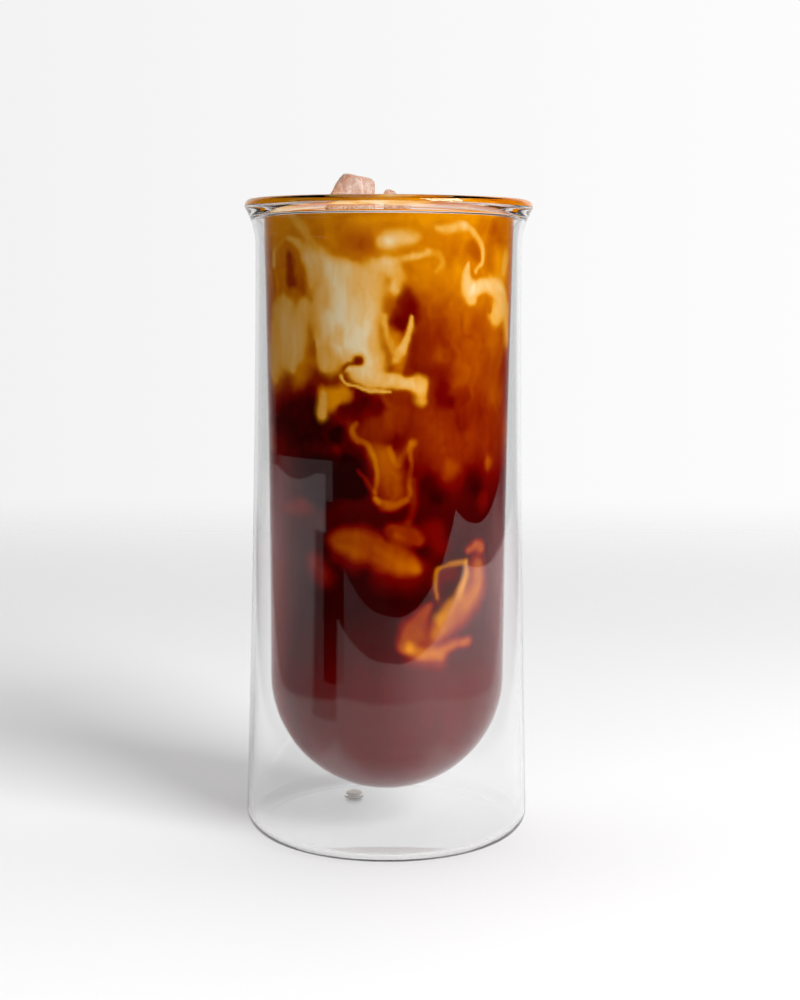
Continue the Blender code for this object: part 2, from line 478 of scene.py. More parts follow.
# %% The drink's mesh
INTO_GLASS = 0.12 * MM
CLIMB_WIDTH = 0.8 * MM
CLIMB = 0.62 * MM
CLIMB_SLOPE = 0.9
COLUMNS = 320
SIDE_ROWS = 256
LOW_ROWS = 20
TOP_ROWS = 16

top_radius = tube_radius(FILL_Z) - CLIMB_WIDTH
drink_outline = [(top_radius * share, FILL_Z) for share in np.linspace(0.0, 1.0, TOP_ROWS + 1)]
for rise in (0.12 * MM, 0.45 * MM, CLIMB):
    z = FILL_Z + rise
    drink_outline.append((tube_radius(z) + INTO_GLASS - (CLIMB - rise) * CLIMB_SLOPE, z))
for z in np.linspace(FILL_Z + 0.2 * MM, BOWL_Z, SIDE_ROWS + 1):
    drink_outline.append((tube_radius(z) + INTO_GLASS, z))
drink_outline += arc((0.0, BOWL_Z), (BOWL_RADIUS + INTO_GLASS,) * 2, 0, -90, LOW_ROWS)[1:-1]
drink_outline.append((0.0, BOWL_Z - BOWL_RADIUS - INTO_GLASS))

drink_mesh = turn_outline("coffee_with_milk", drink_outline, COLUMNS, crowd=0.4)
drink = add_piece("coffee_with_milk", drink_mesh)
drink.data.shade_smooth()
print("drink:", len(drink.data.vertices), "points")

# %% [markdown]
# Milk in coffee moves as smoke does in air. To get such shapes, the places where the clouds
# are drawn are first pushed about by slow noise and by finer noise on top of it. The noise
# is a block of random numbers, blended smoothly between its points; its seed is fixed, so
# the drink is the same each time.

# %% Smooth noise
BLOCK_SIDE = 32
NOISE_GAIN = 1.6


def smooth_noise(places, size, seed):
    """Noise of about -1 to 1 at each place, with lumps of about the given size."""
    block = np.random.default_rng(seed).uniform(-1.0, 1.0, (BLOCK_SIDE,) * 3)
    scaled = places / size
    low = np.floor(scaled).astype(int)
    part = scaled - low
    part = part * part * part * (part * (part * 6 - 15) + 10)
    total = np.zeros(len(places))
    for corner in range(8):
        step = np.array([corner & 1, corner >> 1 & 1, corner >> 2 & 1])
        weight = np.prod(np.where(step, part, 1 - part), axis=1)
        index = (low + step) % BLOCK_SIDE
        total += weight * block[index[:, 0], index[:, 1], index[:, 2]]
    return total * NOISE_GAIN


def layered_noise(places, size, seed, layers=3, fade=0.5):
    """Noise with finer and fainter noise on top of it."""
    total, share = np.zeros(len(places)), 1.0
    for layer in range(layers):
        total += share * smooth_noise(places, size / 2**layer, seed + layer)
        share *= fade
    return total


def soft_step(low, high, value):
    """0 up to low, 1 from high on, and a smooth change between them."""
    t = np.clip((value - low) / (high - low), 0.0, 1.0)
    return t * t * (3 - 2 * t)


print("noise at the origin:", smooth_noise(np.zeros((1, 3)), 1.0, 11).round(2))

# %% [markdown]
# The clouds are drawn on the tube as if it were unrolled: how far round, in millimetres of
# its circumference from the front, and how high. A point of the picture is found on the
# tube by following the camera's line of sight to it, so the clouds at the front can be
# placed where the eye sees them.

# %% The unrolled tube
UNROLLED_AT = 29.9
WAY_ROUND = math.tau * UNROLLED_AT
spots = np.empty(len(drink.data.vertices) * 3)
drink.data.vertices.foreach_get("co", spots)
spots = spots.reshape(-1, 3) / MM
round_mm = np.arctan2(spots[:, 0], -spots[:, 1]) * UNROLLED_AT
height_mm = spots[:, 2].copy()


def seen_at(x, y):
    """Where a point of the picture falls on the tube: millimetres round from the front, and up."""
    start, way = camera.matrix_world.translation / MM, sight_line(x, y)
    a = way.x**2 + way.y**2
    b = start.x * way.x + start.y * way.y
    c = start.x**2 + start.y**2 - UNROLLED_AT**2
    far = (-b - math.sqrt(max(0.0, b * b - a * c))) / a
    hit = start + far * way
    return math.atan2(hit.x, -hit.y) * UNROLLED_AT, hit.z


print("middle of the picture falls at", [round(v, 1) for v in seen_at(400, 500)])
print("mm round at the tube's edges:", [round(seen_at(x, 500)[0], 1) for x in (272, 504)])

# %% [markdown]
# The stirring moves each place a few millimetres: a slow push, with a finer one on top, and
# a small ruffle that frays the edges.

# %% How the milk is stirred
SLOW_LUMPS, FINE_LUMPS, RUFFLE_LUMPS = 13.0, 4.5, 2.6
FINE_PUSH = 0.8
PUSH = np.stack(
    [
        slow_push * layered_noise(spots * [1, 1, 0.8], SLOW_LUMPS, seed)
        + FINE_PUSH * layered_noise(spots, FINE_LUMPS, seed + 10)
        for slow_push, seed in ((2.2, 11), (2.6, 31))
    ],
    axis=1,
)
RUFFLE = np.stack(
    [
        layered_noise(spots * [1, 1, 0.7], RUFFLE_LUMPS, 25, 2),
        layered_noise(spots, RUFFLE_LUMPS, 45, 2),
    ],
    axis=1,
)
print("farthest push, mm:", round(float(np.abs(PUSH).max()), 1))

# %% [markdown]
# A strand of milk is a line through a few points of the picture, with a width at each. The
# distance of every point of the mesh from that line, over the width there, says how much of
# the strand's milk it holds.

# %% A strand of milk
PIXELS_PER_MM = 3.95
STEPS_BETWEEN = 12
FARTHEST_PUSH = 9
RUFFLE_PUSH = 0.22


def strand(points, soft=0.5, calm=0.5, turn=0.0, hollow=0.0):
    """How strongly each place lies in a strand of milk, 0 to 1.

    Each point is (x, y, half width), in the picture's pixels. soft is how far the edge fades,
    calm how little the strand is stirred, turn moves it round the tube, and hollow is how
    much thinner it is at its edge than in its middle."""
    knots = []
    for x, y, half in points:
        there = seen_at(x, y)
        knots.append((there[0] + turn, there[1], half / PIXELS_PER_MM))
    knots = np.array(knots)
    if len(knots) == 1:
        knots = np.repeat(knots, 2, axis=0)
    fine = np.linspace(0, len(knots) - 1, STEPS_BETWEEN * (len(knots) - 1) + 1)
    path = np.stack([smooth_path(knots[:, i], fine) for i in range(3)], axis=1)
    reach = path[:, 2].max() * (1 + soft) + FARTHEST_PUSH * (1 - calm)
    middle = (path[:, :2].max(axis=0) + path[:, :2].min(axis=0)) / 2
    half = (path[:, :2].max(axis=0) - path[:, :2].min(axis=0)) / 2 + reach
    off = round_mm - middle[0]
    off -= WAY_ROUND * np.round(off / WAY_ROUND)
    close = (np.abs(off) < half[0]) & (np.abs(height_mm - middle[1]) < half[1])
    here = np.stack([round_mm[close], height_mm[close]], axis=1)
    here += PUSH[close] * (1 - calm) + RUFFLE[close] * RUFFLE_PUSH
    nearest = np.full(len(here), 9e9)
    for (x0, y0, r0), (x1, y1, r1) in zip(path, path[1:]):
        along = np.array([x1 - x0, y1 - y0])
        length = float(along @ along) + 1e-9
        offset = here - [x0, y0]
        offset[:, 0] -= WAY_ROUND * np.round(offset[:, 0] / WAY_ROUND)
        t = np.clip(offset @ along / length, 0, 1)
        away = np.hypot(offset[:, 0] - t * along[0], offset[:, 1] - t * along[1])
        nearest = np.minimum(nearest, away / np.maximum(r0 + t * (r1 - r0), 0.1))
    inside = np.zeros(len(round_mm))
    inside[close] = 1 - soft_step(1 - soft, 1 + soft, nearest)
    inside[close] *= 1 - hollow * np.clip(nearest, 0, 1) ** 2
    return inside


def smooth_path(values, at):
    """A smooth curve through values at 0, 1, 2 and so on."""
    padded = np.concatenate([[2 * values[0] - values[1]], values, [2 * values[-1] - values[-2]]])
    i = np.minimum(at.astype(int), len(values) - 2)
    t = at - i
    a, b, c, d = padded[i], padded[i + 1], padded[i + 2], padded[i + 3]
    return 0.5 * (
        2 * b + (c - a) * t + (2 * a - 5 * b + 4 * c - d) * t**2 + (3 * b - a - 3 * c + d) * t**3
    )


print("points in a spot of milk:", int((strand([(360, 300, 10)]) > 0.5).sum()))

# %% [markdown]
# First comes the coffee itself. It glows amber near the top, where it is thinned with milk
# and melted ice, and is nearly black from the middle down. Slow noise and a flow that runs
# across keep it from being one even shade.

# %% How light the coffee is
def by_height(table):
    heights, values = zip(*sorted(table))
    return np.interp(height_mm, heights, values)


glow = by_height(
    [
        (160, 0.96), (156, 0.92), (152, 0.88), (148, 0.84), (142, 0.80), (138, 0.72), (134, 0.64),
        (130, 0.58), (126, 0.53), (122, 0.49), (118, 0.45), (112, 0.40), (106, 0.35), (100, 0.31),
        (95, 0.24), (90, 0.15), (85, 0.08), (75, 0.03), (62, 0.03), (53, 0.09), (43, 0.16), (33, 0.18),
        (22, 0.21), (10, 0.24),
    ]
)
SLOW_SHADE, FINE_SHADE, FLOW_SHADE = 0.07, 0.04, 0.09
slow = layered_noise(spots * [1, 1, 0.7], 14.0, 51)
glow += SLOW_SHADE * slow * by_height([(160, 1), (110, 1), (80, 0.1)])
fine = layered_noise(spots * [1, 1, 0.5] + RUFFLE[:, :1], 4.0, 55)
glow += FINE_SHADE * fine * by_height([(160, 1), (100, 0.7), (80, 0)])
flow = layered_noise(spots * [0.35, 0.35, 1.1] + PUSH[:, 1:] * [0, 0, 0.8], 5.0, 57)
glow += FLOW_SHADE * flow * by_height([(160, 1), (148, 0.8), (136, 0.2), (130, 0)])
print("coffee's light from", round(float(glow.min()), 2), "to", round(float(glow.max()), 2))

# %% [markdown]
# Patches of the coffee are lighter where ice lies behind, and lighter again where painted
# light stands for light shining through the coffee; others are darker where the milk leaves a
# gap. Milk that hangs deeper shows through the coffee as orange and brown: a curl like a
# tooth, a soft cloud under it, and the orange parts of the lowest cloud. Each patch has its
# points, how much light it adds or takes away, and how softly it ends. The back of the drink
# gets the same patches once more, stirred further.

# %% Light and dark patches
BEHIND = 94.0
PATCH_CALM, DEEP_CALM = 0.6, 0.92
# lighter patches: sunken ice behind the coffee, and painted light shining through the coffee
ICE_AND_PAINTED_LIGHT_PATCHES = [
    ([(452, 262, 14), (449, 288, 14)], 0.10, 0.9),
    ([(458, 318, 17)], 0.07, 0.35),
    ([(472, 362, 20), (474, 384, 20)], 0.07, 0.6),
    ([(492, 350, 12), (494, 400, 12)], 0.12, 0.8),
    ([(487, 456, 8)], 0.20, 0.6),
    ([(447, 472, 9)], 0.12, 0.5),
    ([(480, 500, 10)], 0.10, 0.6),
    ([(297, 300, 12), (286, 316, 9)], 0.10, 0.6),
    ([(279, 230, 3), (280, 290, 3), (281, 340, 4)], 0.10, 0.8),
    ([(303, 364, 12), (300, 380, 12)], 0.42, 0.8),
    ([(328, 402, 9), (344, 399, 8)], 0.60, 0.6),
    ([(320, 362, 8), (334, 368, 7)], 0.30, 0.8),
    ([(392, 330, 7), (397, 350, 7), (398, 366, 5)], 0.34, 0.7),
    ([(402, 268, 14), (418, 274, 12)], 0.14, 0.8),
    ([(381, 427, 10), (398, 412, 8)], 0.04, 0.8),
    ([(335, 407, 7)], 0.30, 0.8),
    ([(384, 458, 12), (394, 490, 13)], 0.15, 0.7),
    ([(274, 425, 5), (274, 445, 5)], 0.25, 0.9),
]
DEEP_MILK = [
    ([(356, 424, 2), (353, 432, 2.5), (357, 440, 3), (366, 444, 3), (372, 453, 2.5),
      (376, 464, 2), (377, 478, 2), (376, 492, 2.2)], 0.26, 0.8),
    ([(360, 472, 2), (367, 481, 2.5), (374, 494, 2.5), (377, 503, 3)], 0.26, 0.8),
    ([(376, 500, 3), (386, 507, 4.5), (396, 507, 4.5), (406, 500, 3.4)], 0.36, 0.8),
    ([(413, 442, 3.4), (412, 453, 2.6), (412, 464, 2.2), (410, 476, 2.4), (409, 494, 3)], 0.22, 0.8),
    ([(389, 449, 3), (398, 464, 3), (404, 456, 3), (411, 444, 3)], 0.16, 0.8),
    ([(376, 452, 8), (388, 472, 13), (392, 492, 12)], 0.14, 0.6),
    ([(414, 482, 4), (413, 506, 4), (410, 521, 4)], 0.20, 0.8),
    ([(336, 540, 10), (352, 542, 14), (372, 548, 16), (396, 558, 15), (414, 566, 9)], 0.44, 0.6),
    ([(392, 530, 7), (410, 535, 9), (420, 542, 6)], 0.34, 0.6),
    ([(376, 549, 3), (396, 559, 4), (418, 568, 4)], 0.08, 0.9),
    ([(314, 564, 11), (324, 578, 10)], 0.26, 0.9),
    ([(338, 556, 8), (352, 562, 10)], 0.22, 0.9),
    ([(384, 576, 12), (410, 579, 12), (426, 568, 10)], 0.17, 0.9),
    ([(432, 532, 10), (441, 548, 9)], 0.20, 0.9),
    ([(412, 658, 7), (440, 662, 7)], 0.20, 0.9),
    ([(286, 500, 14), (304, 503, 10)], 0.24, 0.9),
    ([(428, 608, 5), (419, 620, 9), (410, 636, 11), (406, 645, 8)], 0.42, 0.6),
    ([(410, 650, 6), (429, 654, 6), (442, 652, 6), (455, 644, 5), (468, 641, 5)], 0.44, 0.8),
    ([(478, 566, 12), (478, 586, 15), (468, 604, 15), (450, 622, 13), (432, 638, 11)], 0.36, 0.7),
    ([(468, 551, 4), (477, 545, 6), (482, 549, 5)], 0.50, 0.8),
    ([(438, 600, 6), (440, 580, 8), (452, 572, 8)], 0.16, 0.9),
]
DARK_PATCHES = [
    ([(294, 256, 7), (294, 278, 7)], 0.34, 0.7),
    ([(365, 247, 12), (350, 243, 8)], 0.10, 0.8),
    ([(470, 247, 8), (477, 258, 6)], 0.22, 0.6),
    ([(498, 245, 10), (494, 232, 8)], 0.20, 0.9),
    ([(404, 300, 8), (408, 308, 11), (398, 319, 8)], 0.30, 0.6),
    ([(420, 300, 9), (420, 345, 7), (420, 364, 13)], 0.08, 0.8),
    ([(440, 366, 10), (443, 392, 10)], 0.16, 0.8),
    ([(456, 398, 10), (460, 424, 9)], 0.16, 0.8),
    ([(286, 422, 26), (310, 426, 24), (330, 436, 16)], 0.30, 0.5),
    ([(350, 414, 13), (366, 405, 11), (382, 406, 6)], 0.20, 0.8),
    ([(352, 222, 12), (362, 232, 12), (374, 246, 8)], 0.15, 0.9),
    ([(447, 256, 8), (462, 256, 6)], 0.12, 0.8),
    ([(489, 246, 6), (490, 272, 6)], 0.20, 0.9),
    ([(290, 480, 22), (330, 480, 22), (350, 470, 10)], 0.30, 0.5),
    ([(346, 440, 9), (358, 462, 9), (356, 488, 12)], 0.26, 0.6),
    ([(395, 441, 8)], 0.12, 0.8),
    ([(426, 485, 9), (440, 500, 9)], 0.12, 0.8),
    ([(470, 482, 12)], 0.10, 0.8),
    ([(388, 534, 5)], 0.16, 0.8),
]
PATCHES = (
    (ICE_AND_PAINTED_LIGHT_PATCHES, 1, PATCH_CALM),
    (DEEP_MILK, 1, DEEP_CALM),
    (DARK_PATCHES, -1, PATCH_CALM),
)
for patches, sign, calm in PATCHES:
    for points, amount, soft in patches:
        both = strand(points, soft, calm) + strand(points, soft, 0.0, BEHIND)
        glow += sign * amount * both
print("patches:", sum(len(patches) for patches, sign, calm in PATCHES))

# %% [markdown]
# Low in the tube the coffee is less dark towards the left and right of the drink, where the eye
# looks through less of it. This is painted light, stronger at the left than at the right.

# %% Painted light at the left and right of the drink
SIDES_BEGIN, SIDES_END = (18, 40), (62, 52)
SIDES_HEIGHT = (112, 98)
LEFT_LIGHT, RIGHT_LIGHT = 0.33, 0.19
# painted light: the coffee is made lighter towards its left and right, low in the tube
from_front = np.abs(round_mm)
painted_side_light = soft_step(*SIDES_BEGIN, from_front) * soft_step(*SIDES_END, from_front)
painted_side_light *= np.where(round_mm < 0, LEFT_LIGHT, RIGHT_LIGHT)
glow = np.clip(np.maximum(glow, painted_side_light * soft_step(*SIDES_HEIGHT, height_mm)), 0.0, 1.0)
print("lightest side:", round(float(painted_side_light.max()), 2))

# %% [markdown]
# Then the milk. Each strand is drawn with a few points and widths; where strands overlap the
# milk grows thicker. A strand's line holds its points, its amount of milk, how softly it
# ends and how calm it is. The gaps take milk away again, as the dark curl in the big cloud;
# two faint ones are painted shade in the crease and the folds of the big cloud.

# %% The clouds of milk
CLOUDS = {
    # from its thin tail at the top left to its foot at the right
    "big": [
        ([(279, 264, 6), (280, 250, 6), (286, 240, 5), (292, 237, 5), (300, 242, 6),
          (308, 250, 8), (318, 260, 9)], 0.41, 0.9, 0.9),
        ([(308, 256, 6), (324, 260, 10), (344, 266, 12)], 0.51, 0.8, 0.85),
        ([(316, 262, 10), (326, 280, 20), (336, 304, 26), (345, 328, 28)], 0.73, 0.45, 0.8),
        ([(312, 254, 8), (328, 276, 16), (340, 298, 16), (350, 322, 10), (368, 362, 7)], 0.78, 0.9, 0.88),
        ([(348, 330, 30), (360, 350, 26), (370, 366, 18)], 0.61, 0.5, 0.85),
        ([(354, 272, 13), (368, 286, 19), (368, 302, 18), (362, 322, 20)], 0.55, 0.6, 0.8),
        ([(378, 266, 9), (392, 268, 11), (400, 276, 10), (396, 288, 8)], 0.50, 0.8, 0.9),
        ([(320, 344, 8), (325, 358, 12), (332, 368, 11)], 0.34, 0.9, 0.85),
        ([(358, 375, 10), (372, 379, 10.5), (388, 381, 9.5), (404, 383, 8), (419, 383, 9.5)],
         0.71, 0.45, 0.92),
        ([(420, 391, 8), (421, 400, 6)], 0.44, 0.6, 0.92),
    ],
    # a golden hook round the dark hole, and the finger above the foot
    "edges": [
        ([(350, 370, 3), (343, 373, 2), (341, 378, 1.6), (345, 384, 1.6), (353, 387, 1.6),
          (364, 390, 2), (380, 393, 2), (392, 393, 1.6)], 0.56, 0.7, 0.95),
        ([(412, 317, 2), (410, 330, 4), (404, 345, 5), (396, 359, 6)], 0.56, 0.6, 0.9),
        ([(385, 316, 4), (388, 332, 4), (393, 350, 5)], 0.37, 0.8, 0.85),
    ],
    # the tan column at the left, and fingers under it
    "column": [
        ([(307, 306, 12), (301, 328, 16), (299, 350, 16), (294, 368, 10)], 0.49, 0.8, 0.8),
        ([(291, 308, 10), (289, 340, 13), (288, 362, 11)], 0.41, 0.8, 0.85),
        ([(284, 304, 14), (279, 330, 22), (277, 366, 20)], 0.56, 0.7, 0.8),
        ([(324, 356, 9), (326, 368, 8)], 0.37, 0.8, 0.8),
        ([(325, 397, 6), (324, 406, 8), (323, 415, 8)], 0.49, 0.8, 0.85),
        ([(344, 396, 6), (346, 402, 5)], 0.20, 0.8, 0.85),
    ],
    # soft gold and a fine ribbon under the lip
    "under_lip": [
        ([(385, 242, 9), (396, 239, 13), (408, 237, 12), (416, 236, 8)], 0.49, 0.8, 0.95),
        ([(390, 240, 6), (400, 239, 8), (410, 239, 5)], 0.61, 0.9, 0.95),
        ([(296, 212, 9), (306, 224, 11), (314, 238, 11), (322, 248, 9)], 0.41, 0.9, 0.8),
        ([(408, 258, 4), (424, 253, 5), (437, 253, 6), (442, 262, 5), (435, 271, 5)], 0.32, 0.9, 0.85),
        ([(435, 229, 4), (447, 230, 5), (458, 225, 5), (468, 229, 4.5), (476, 239, 4.5),
          (480, 250, 4), (480, 262, 3.6), (474, 272, 3.6)], 0.44, 0.8, 0.95),
        ([(438, 232, 6), (452, 230, 8), (462, 226, 6)], 0.24, 0.9, 0.7),
        ([(388, 262, 5), (402, 262, 5), (416, 258, 4), (426, 250, 3)], 0.32, 0.9, 0.8),
        ([(502, 258, 12), (500, 270, 10)], 0.37, 0.8, 0.8),
    ],
    # the hook at the right
    "hook": [
        ([(466, 262, 2), (464, 276, 6), (467, 289, 10), (470, 299, 7)], 0.61, 0.7, 0.94),
        ([(474, 289, 8), (484, 286, 9), (494, 290, 14), (497, 304, 17), (492, 316, 13)], 0.68, 0.6, 0.95),
        ([(502, 310, 12), (503, 340, 12)], 0.41, 0.8, 0.9),
    ],
    # the lowest cloud, shaped like a foot
    "foot": [
        ([(478, 568, 9), (478, 586, 12), (468, 604, 12), (452, 621, 10), (436, 634, 8)], 0.16, 0.8, 0.92),
        ([(466, 563, 3), (466, 578, 6), (455, 601, 8), (440, 619, 8)], 0.30, 0.9, 0.92),
        ([(438, 598, 3), (437, 578, 3), (440, 569, 3), (450, 565, 3.2), (465, 562, 4)], 0.26, 0.9, 0.95),
        ([(418, 651, 4), (434, 654, 4), (448, 648, 4), (466, 641, 4)], 0.11, 0.9, 0.92),
    ],
}
GAPS_AND_FOLD_SHADE = [
    ([(358, 359, 5.6)], 0.95, 0.6, 0.95),
    ([(360, 363, 3.4), (353, 364, 3.0), (346, 367, 2.6), (342, 374, 2.0)], 0.80, 0.8, 0.95),
    ([(316, 342, 2.5), (314, 358, 3.5), (312, 378, 4)], 0.6, 0.9, 0.92),
    ([(353, 247, 4), (356, 256, 3)], 0.4, 0.8, 0.85),
    # painted shade: these two darken the crease and the folds inside the big cloud
    ([(314, 270, 3), (316, 284, 4), (314, 300, 3)], 0.24, 0.9, 0.9),
    ([(338, 330, 6), (330, 345, 8), (322, 354, 6)], 0.20, 0.9, 0.9),
    ([(477, 304, 3), (482, 302, 3), (487, 306, 3), (487, 312, 3)], 0.8, 0.6, 0.95),
    ([(393, 318, 4), (396, 330, 4)], 0.5, 0.6, 0.9),
    ([(407, 374, 4)], 0.6, 0.8, 0.95),
    ([(450, 575, 4), (446, 590, 4)], 0.4, 0.7, 0.9),
]
print("strands of milk:", sum(len(strands) for strands in CLOUDS.values()), "and gaps:", len(GAPS_AND_FOLD_SHADE))

# %% [markdown]
# Milk laid on milk never gets whiter than milk: each strand covers a share of what coffee is
# still seen. The clouds at the back are the ones in front, laid again further round the tube
# and stirred more, so no two look alike.

# %% Laying the milk
EDGE_HOLLOW = 0.55
ASIDE = 14


def lay(milk, groups, turn=0.0, stir=0.0):
    for group in groups.split():
        for points, amount, soft, calm in CLOUDS[group]:
            laid = amount * strand(points, soft, calm - stir, turn, EDGE_HOLLOW)
            milk = 1 - (1 - milk) * (1 - laid)
    return milk


milk = lay(np.zeros(len(spots)), " ".join(CLOUDS))
for points, amount, soft, calm in GAPS_AND_FOLD_SHADE:
    milk *= 1 - amount * strand(points, soft, calm)
milk = lay(milk, "big hook", BEHIND, 0.5)
milk = lay(milk, "column foot", BEHIND + ASIDE, 0.4)
milk = lay(milk, "under_lip", BEHIND - ASIDE, 0.6)
print("share of the tube in milk:", round(float((milk > 0.3).mean()), 3))

# %% [markdown]
# Real milk is streaky inside: it was pulled out long while it sank. Noise that is stretched
# along the tube and bent by the same stirring gives it streaks and thin places.

# %% Streaks in the milk
FOLDS, STREAKS, THINNED, COFFEE_STREAKS = 0.16, 0.10, 0.02, 0.03
stirred = spots + PUSH[:, [0, 0, 1]]
folds = layered_noise(stirred * [1.0, 1.0, 0.5], 8.0, 65, 2)
streaks = layered_noise(stirred * [1.0, 1.0, 0.14], 2.4, 61, 2)
milk = np.clip(milk * (1 + FOLDS * folds + STREAKS * streaks) - THINNED, 0.0, 1.0)
glow += COFFEE_STREAKS * streaks * np.clip(glow * 2, 0, 1)
print("streaks from", round(float(streaks.min()), 2), "to", round(float(streaks.max()), 2))

# %% [markdown]
# The top of the drink is golden, with a swirl of milk. The two amounts are then stored on
# the mesh, where the material can read them.

# %% The drink's top, and storing the amounts
TOP_GLOW = 0.72
radius_mm = np.hypot(spots[:, 0], spots[:, 1])
on_top = (height_mm > FILL_Z / MM - 0.01) & (radius_mm < tube_radius(FILL_Z) / MM - 0.5)
swirl = layered_noise(stirred * [1.0, 0.35, 1.0], 7.0, 71, 3)
milk = np.where(on_top, np.clip(0.25 + 0.5 * swirl, 0, 0.9), milk)
glow = np.where(on_top, TOP_GLOW, glow)

for name, values in (("milk", milk), ("glow", glow)):
    layer = drink.data.attributes.new(name, "FLOAT", "POINT")
    layer.data.foreach_set("value", values.astype(np.float32))
print("milk from", round(float(milk.min()), 2), "to", round(float(milk.max()), 2))

# %% [markdown]
# The drink's colour is read off two ramps: one from black coffee to amber, and one from
# amber to cream. The more milk there is, the more the second ramp covers the first. So a
# cloud that thins out turns amber before it is lost in the coffee, as a little milk does.

# %% Coffee and milk
def colour_ramp(tree, stops):
    ramp = add(tree, "ShaderNodeValToRGB")
    while len(ramp.color_ramp.elements) < len(stops):
        ramp.color_ramp.elements.new(0.5)
    for element, (place, colour) in zip(ramp.color_ramp.elements, stops):
        element.position = place
        element.color = (*[(c / 255) ** 2.2 for c in colour], 1.0)
    return ramp


COFFEE_TONES = [
    (0.0, (44, 0, 1)),
    (0.12, (80, 1, 2)),
    (0.25, (118, 9, 1)),
    (0.40, (148, 45, 1)),
    (0.58, (184, 85, 1)),
    (0.80, (216, 122, 2)),
    (1.0, (244, 152, 4)),
]
MILK_TONES = [
    (0.0, (206, 108, 2)),
    (0.12, (226, 134, 12)),
    (0.25, (237, 155, 28)),
    (0.40, (245, 173, 64)),
    (0.60, (252, 192, 104)),
    (0.80, (254, 213, 144)),
    (1.0, (255, 232, 184)),
]
COVER = (0.0, 0.36)

coffee, tree = new_material("coffee_and_milk")
glow_here = add(tree, "ShaderNodeAttribute", attribute_name="glow")
milk_here = add(tree, "ShaderNodeAttribute", attribute_name="milk")
wisp = place_noise(tree, (420.0, 420.0, 130.0), 4.0, 0.8)
wisp_spread = spread(tree, (0.3, 0.7), (0.9, 1.1))
thick = add(tree, "ShaderNodeMath", operation="MULTIPLY", use_clamp=True)
coffee_tone = colour_ramp(tree, COFFEE_TONES)
milk_tone = colour_ramp(tree, MILK_TONES)
cover = spread(tree, COVER, (0.0, 1.0))
blend = mix_colours(tree)
skin = add(tree, "ShaderNodeBsdfPrincipled", {"Roughness": 0.12, "IOR": 1.34})
skin.inputs["Specular IOR Level"].default_value = 0.15
out = add(tree, "ShaderNodeOutputMaterial")
join(
    tree,
    (wisp, "Amount", wisp_spread, "Value"),
    (milk_here, "Fac", thick, 0),
    (wisp_spread, "Result", thick, 1),
    (glow_here, "Fac", coffee_tone, "Fac"),
    (thick, 0, milk_tone, "Fac"),
    (thick, 0, cover, "Value"),
    (cover, "Result", blend, "Factor"),
    (coffee_tone, "Color", blend, "A"),
    (milk_tone, "Color", blend, "B"),
    (blend, "Result", skin, "Base Color"),
    (skin, "BSDF", out, "Surface"),
)

drink.data.materials.append(coffee)
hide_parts("coffee")
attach(drink, "root")
print("tones:", len(COFFEE_TONES), "of coffee and", len(MILK_TONES), "of milk")

# %% [markdown]
# Two pieces of ice stick out of the drink. Ice from a bag is broken, with flat faces and
# worn edges, and it is full of fine cloudy veins. Each piece starts as the hull round a few
# corners with its edges bevelled, is meshed anew in small even faces, and is then dented.

# %% The corners of the ice
BLOCK_CORNERS = (
    (-11.6, 3.0, 167.4), (-8.6, 1.2, 166.5), (-3.4, 3.2, 165.8), (-4.4, 10.0, 164.8), (-10.2, 9.6, 165.8),
    (-13.3, 4.5, 165.4), (-3.2, 1.0, 162.0), (-15.2, 1.8, 161.0), (-15.8, 9.4, 159.6), (-3.6, 13.0, 158.0),
    (-17.4, -1.6, 152.4), (-3.4, -2.6, 151.0), (-3.6, 12.8, 150.2), (-16.0, 13.4, 151.6),
    (-14.4, 1.2, 147.0), (-5.6, 0.6, 146.0), (-6.0, 9.6, 145.6), (-13.6, 9.8, 146.6),
)
NUB_CORNERS = (
    (-0.5, 5.6, 163.9), (1.0, 5.2, 163.4), (-1.5, 7.2, 163.0), (1.6, 7.6, 162.6), (-1.6, 4.8, 162.2),
    (4.2, 3.4, 159.8), (5.4, 9.0, 159.2), (-1.5, 10.4, 158.4), (-1.4, 2.2, 157.2),
    (-1.2, 1.6, 151.6), (8.2, 2.2, 152.2), (8.8, 10.6, 151.4), (-1.0, 12.2, 152.0), (3.4, 6.8, 146.4),
)
print("corners of the ice:", len(BLOCK_CORNERS), len(NUB_CORNERS))

# %% [markdown]
# Ice that has begun to melt loses a little all over, more where noise has dents, and most
# along narrow creases.

# %% The ice
WORN_EDGE = 0.6 * MM
FACE_SIZE = 0.26 * MM
MELTED, DENTED, CREASED = 0.10, 0.12, 0.16


